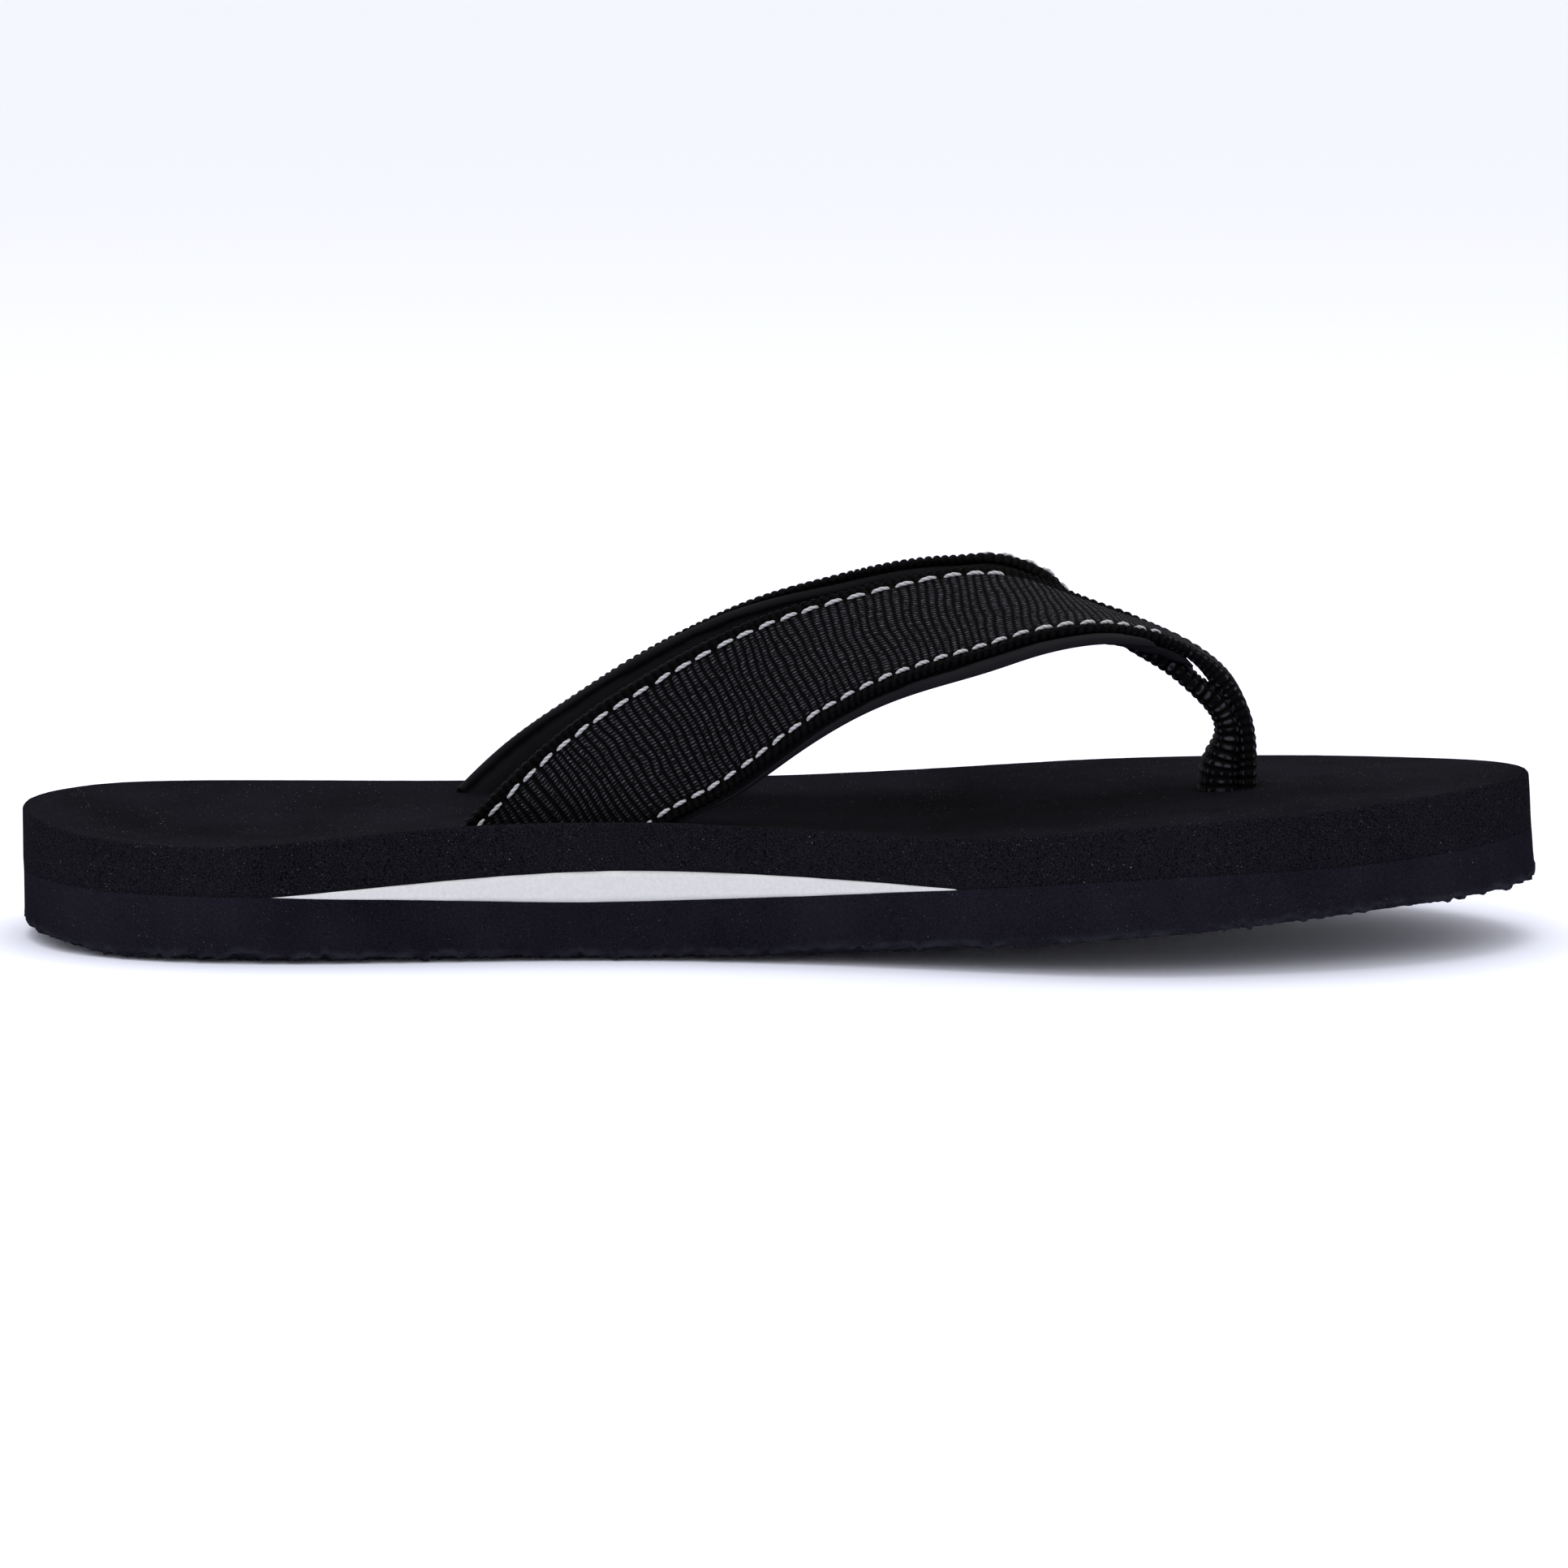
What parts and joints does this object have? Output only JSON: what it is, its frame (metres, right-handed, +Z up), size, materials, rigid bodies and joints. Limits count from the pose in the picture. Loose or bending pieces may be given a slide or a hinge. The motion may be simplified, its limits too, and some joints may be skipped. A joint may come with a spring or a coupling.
{
  "type": "flip flop",
  "caption": "Thong sandal for the left foot: two-layer foam sole with an arch wedge, and a lined webbing V strap that ends in a toe post.",
  "frame": {"origin": "on the floor, under the middle of the sole's box", "axes": "+X from heel to toe, +Y from the big toe side to the little toe side, +Z up"},
  "size_m": [0.2801, 0.098, 0.0703],
  "materials": {
    "outsole_foam": "matte moulded foam sheet with a scuffed lower edge",
    "wedge_foam": "matte off-white cut foam",
    "footbed_foam": "matte foam with a moulded skin on top and cut sides",
    "anchor_plastic": "moulded",
    "webbing": "ribbed woven tape",
    "lining": "smooth matte coated fabric over thin foam",
    "thread": "two-ply sewing thread"
  },
  "bodies": {
    "root": {"outsole": "outsole_foam", "arch_wedge": "wedge_foam", "footbed": "footbed_foam", "toe_anchor": "anchor_plastic", "medial_strap_webbing": "webbing", "medial_strap_lining": "lining", "medial_upper_stitching": "thread", "medial_lower_stitching": "thread", "lateral_strap_webbing": "webbing", "lateral_strap_lining": "lining", "lateral_upper_stitching": "thread", "lateral_lower_stitching": "thread"}
  },
  "joints": []
}
